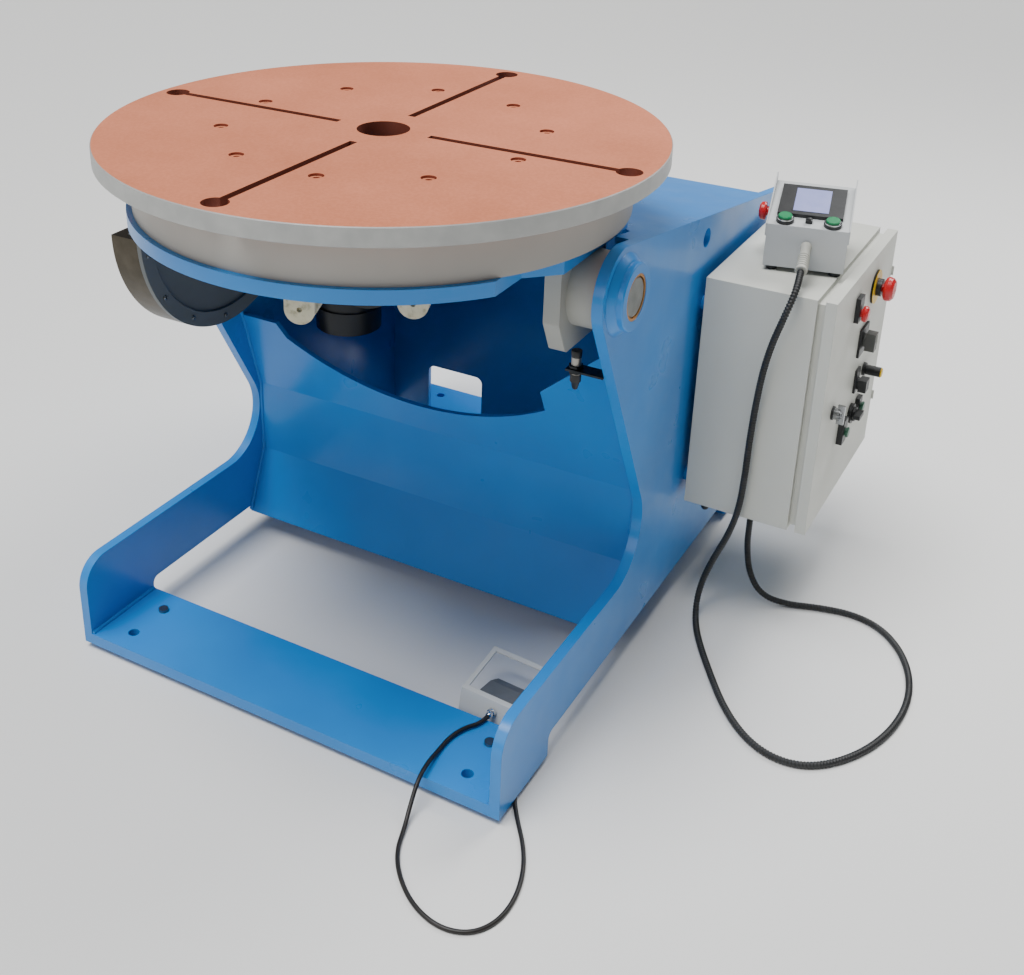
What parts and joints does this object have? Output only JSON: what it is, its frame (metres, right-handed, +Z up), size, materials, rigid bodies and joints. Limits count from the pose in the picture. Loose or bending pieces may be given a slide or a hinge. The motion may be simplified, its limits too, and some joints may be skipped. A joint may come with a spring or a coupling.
{
  "type": "welding positioner",
  "caption": "Floor-standing welding positioner: slotted round table on a geared tilting head between profiled side plates, with control enclosure, hand pendant and foot pedal.",
  "frame": {"origin": "centre of the rectangle of four floor anchor holes, on the underside of the foot plates", "axes": "+Z up; +Y towards the rear (the head tips towards -Y); +X across the machine, towards the control enclosure"},
  "size_m": [1.493, 1.5408, 1.044],
  "materials": {
    "blue_paint": "satin",
    "grey_paint": "satin",
    "cream_paint": "satin",
    "dark_paint": "matte",
    "enclosure_paint": "textured",
    "motor_paint": "satin",
    "turned_steel": "turned",
    "table_steel": "machined, coppery",
    "stainless": "brushed",
    "gear_steel": "oiled",
    "bush_bronze": "plain",
    "black_rubber": "matte",
    "black_plastic": "matte",
    "red_plastic": "gloss",
    "green_plastic": "gloss",
    "pedal_paint": "hammered",
    "screen_face": "gloss",
    "chrome_trim": "polished"
  },
  "bodies": {
    "base": {"left_side_plate": "blue_paint", "right_side_plate": "blue_paint", "front_foot_plate": "blue_paint", "rear_foot_plate": "blue_paint", "front_web": "blue_paint", "top_plate": "blue_paint", "back_plate": "blue_paint", "levelling_screws": "gear_steel", "trunnion_bosses": "turned_steel", "trunnion_bushes": "bush_bronze", "tilt_drive_bracket": "turned_steel", "tilt_gearbox": "motor_paint", "tilt_motor": "motor_paint", "tilt_sensor": "stainless", "enclosure_box": "enclosure_paint", "enclosure_standoffs": "blue_paint", "door_hinges": "chrome_trim", "mounting_panel": "stainless", "panel_devices": "black_plastic", "cable_glands": "black_plastic", "pendant_housing": "grey_paint", "pendant_cheeks": "stainless", "pendant_bezel": "black_plastic", "pendant_screen": "screen_face", "pendant_feet": "black_rubber", "pendant_strain_relief": "black_rubber", "pedal_base": "pedal_paint", "pedal_gland": "black_plastic", "pedal_cord": "black_rubber", "pendant_conduit": "black_rubber"},
    "tilting_head": {"tilting_plate": "blue_paint", "right_trunnion_bracket": "blue_paint", "left_trunnion_bracket": "blue_paint", "trunnion_shafts": "turned_steel", "slewing_outer_ring": "grey_paint", "tilt_sector_gear": "gear_steel", "gear_guard_disc": "dark_paint", "gear_guard_band": "stainless", "rotation_gearbox": "cream_paint", "rotation_motor": "motor_paint"},
    "turntable": {"table_plate": "table_steel", "table_ring_gear": "gear_steel", "table_screws": "gear_steel"},
    "tilt_pinion": {"tilt_pinion": "gear_steel"},
    "rotation_pinion": {"rotation_pinion": "gear_steel"},
    "door": {"door_panel": "enclosure_paint", "door_device_bases": "black_plastic"},
    "door_stop_button": {"door_stop_button": "red_plastic"},
    "red_button": {"red_button": "red_plastic"},
    "main_switch": {"main_switch": "black_plastic"},
    "speed_knob": {"speed_knob": "black_plastic"},
    "square_selector": {"square_selector": "black_plastic"},
    "upper_green_button": {"upper_green_button": "green_plastic"},
    "lever_selector": {"lever_selector": "black_plastic"},
    "lower_green_button": {"lower_green_button": "green_plastic"},
    "door_lock": {"door_lock": "chrome_trim"},
    "pendant_left_button": {"pendant_left_button": "green_plastic"},
    "pendant_right_button": {"pendant_right_button": "green_plastic"},
    "pendant_stop_button": {"pendant_stop_button": "red_plastic"},
    "pedal_treadle": {"pedal_treadle": "dark_paint"}
  },
  "joints": [
    {"name": "head_tilt", "type": "hinge", "parent": "base", "child": "tilting_head", "pos_m": [0, -0.268, 0.822], "axis": [1, 0, 0], "range_deg": [0, 90]},
    {"name": "table_rotation", "type": "hinge", "parent": "tilting_head", "child": "turntable", "pos_m": [0, -0.268, 1], "axis": [0, 0, 1], "continuous": true},
    {"name": "tilt_pinion_turn", "type": "hinge", "parent": "base", "child": "tilt_pinion", "pos_m": [-0.403, -0.01141, 0.79503], "axis": [1, 0, 0], "range_deg": [-394, 1]},
    {"name": "rotation_pinion_turn", "type": "hinge", "parent": "tilting_head", "child": "rotation_pinion", "pos_m": [0.08516, -0.50198, 0.95], "axis": [0, 0, 1], "continuous": true},
    {"name": "door_swing", "type": "hinge", "parent": "base", "child": "door", "pos_m": [0.709, 0.577, 0.4775], "axis": [0, 0, 1], "range_deg": [0, 110]},
    {"name": "door_stop_button_press", "type": "slide", "parent": "door", "child": "door_stop_button", "axis": [-1, 0, 0], "range_m": [0, 0.003], "stiffness_N_per_m": 700, "springref_m": -0.001},
    {"name": "red_button_press", "type": "slide", "parent": "door", "child": "red_button", "axis": [-1, 0, 0], "range_m": [0, 0.0025], "stiffness_N_per_m": 500, "springref_m": -0.001},
    {"name": "upper_green_button_press", "type": "slide", "parent": "door", "child": "upper_green_button", "axis": [-1, 0, 0], "range_m": [0, 0.002], "stiffness_N_per_m": 500, "springref_m": -0.001},
    {"name": "lower_green_button_press", "type": "slide", "parent": "door", "child": "lower_green_button", "axis": [-1, 0, 0], "range_m": [0, 0.002], "stiffness_N_per_m": 500, "springref_m": -0.001},
    {"name": "main_switch_turn", "type": "hinge", "parent": "door", "child": "main_switch", "pos_m": [0.732, 0.372, 0.553], "axis": [1, 0, 0], "range_deg": [0, 90]},
    {"name": "speed_knob_turn", "type": "hinge", "parent": "door", "child": "speed_knob", "pos_m": [0.732, 0.432, 0.462], "axis": [1, 0, 0], "range_deg": [-135, 135]},
    {"name": "square_selector_turn", "type": "hinge", "parent": "door", "child": "square_selector", "pos_m": [0.732, 0.372, 0.455], "axis": [1, 0, 0], "range_deg": [-45, 45]},
    {"name": "lever_selector_turn", "type": "hinge", "parent": "door", "child": "lever_selector", "pos_m": [0.732, 0.362, 0.39], "axis": [1, 0, 0], "range_deg": [-60, 60]},
    {"name": "door_lock_turn", "type": "hinge", "parent": "door", "child": "door_lock", "pos_m": [0.732, 0.198, 0.464], "axis": [1, 0, 0], "range_deg": [-90, 0]},
    {"name": "pendant_left_button_press", "type": "slide", "parent": "base", "child": "pendant_left_button", "axis": [-0.0407, 0.1917, -0.9806], "range_m": [0, 0.002], "stiffness_N_per_m": 500, "springref_m": -0.001},
    {"name": "pendant_right_button_press", "type": "slide", "parent": "base", "child": "pendant_right_button", "axis": [-0.0407, 0.1917, -0.9806], "range_m": [0, 0.002], "stiffness_N_per_m": 500, "springref_m": -0.001},
    {"name": "pendant_stop_button_press", "type": "slide", "parent": "base", "child": "pendant_stop_button", "axis": [0.9781, 0.2079, 0], "range_m": [0, 0.002], "stiffness_N_per_m": 600, "springref_m": -0.001},
    {"name": "treadle_press", "type": "hinge", "parent": "base", "child": "pedal_treadle", "pos_m": [0.34481, -0.35485, 0.006], "axis": [0.9976, -0.0698, 0], "range_deg": [0, 8], "stiffness_Nm_per_rad": 12, "springref_deg": -3.44}
  ],
  "couplings": [
    {"joint": "tilt_pinion_turn", "follows": "head_tilt", "ratio": -4.375},
    {"joint": "rotation_pinion_turn", "follows": "table_rotation", "ratio": 5.8824}
  ]
}
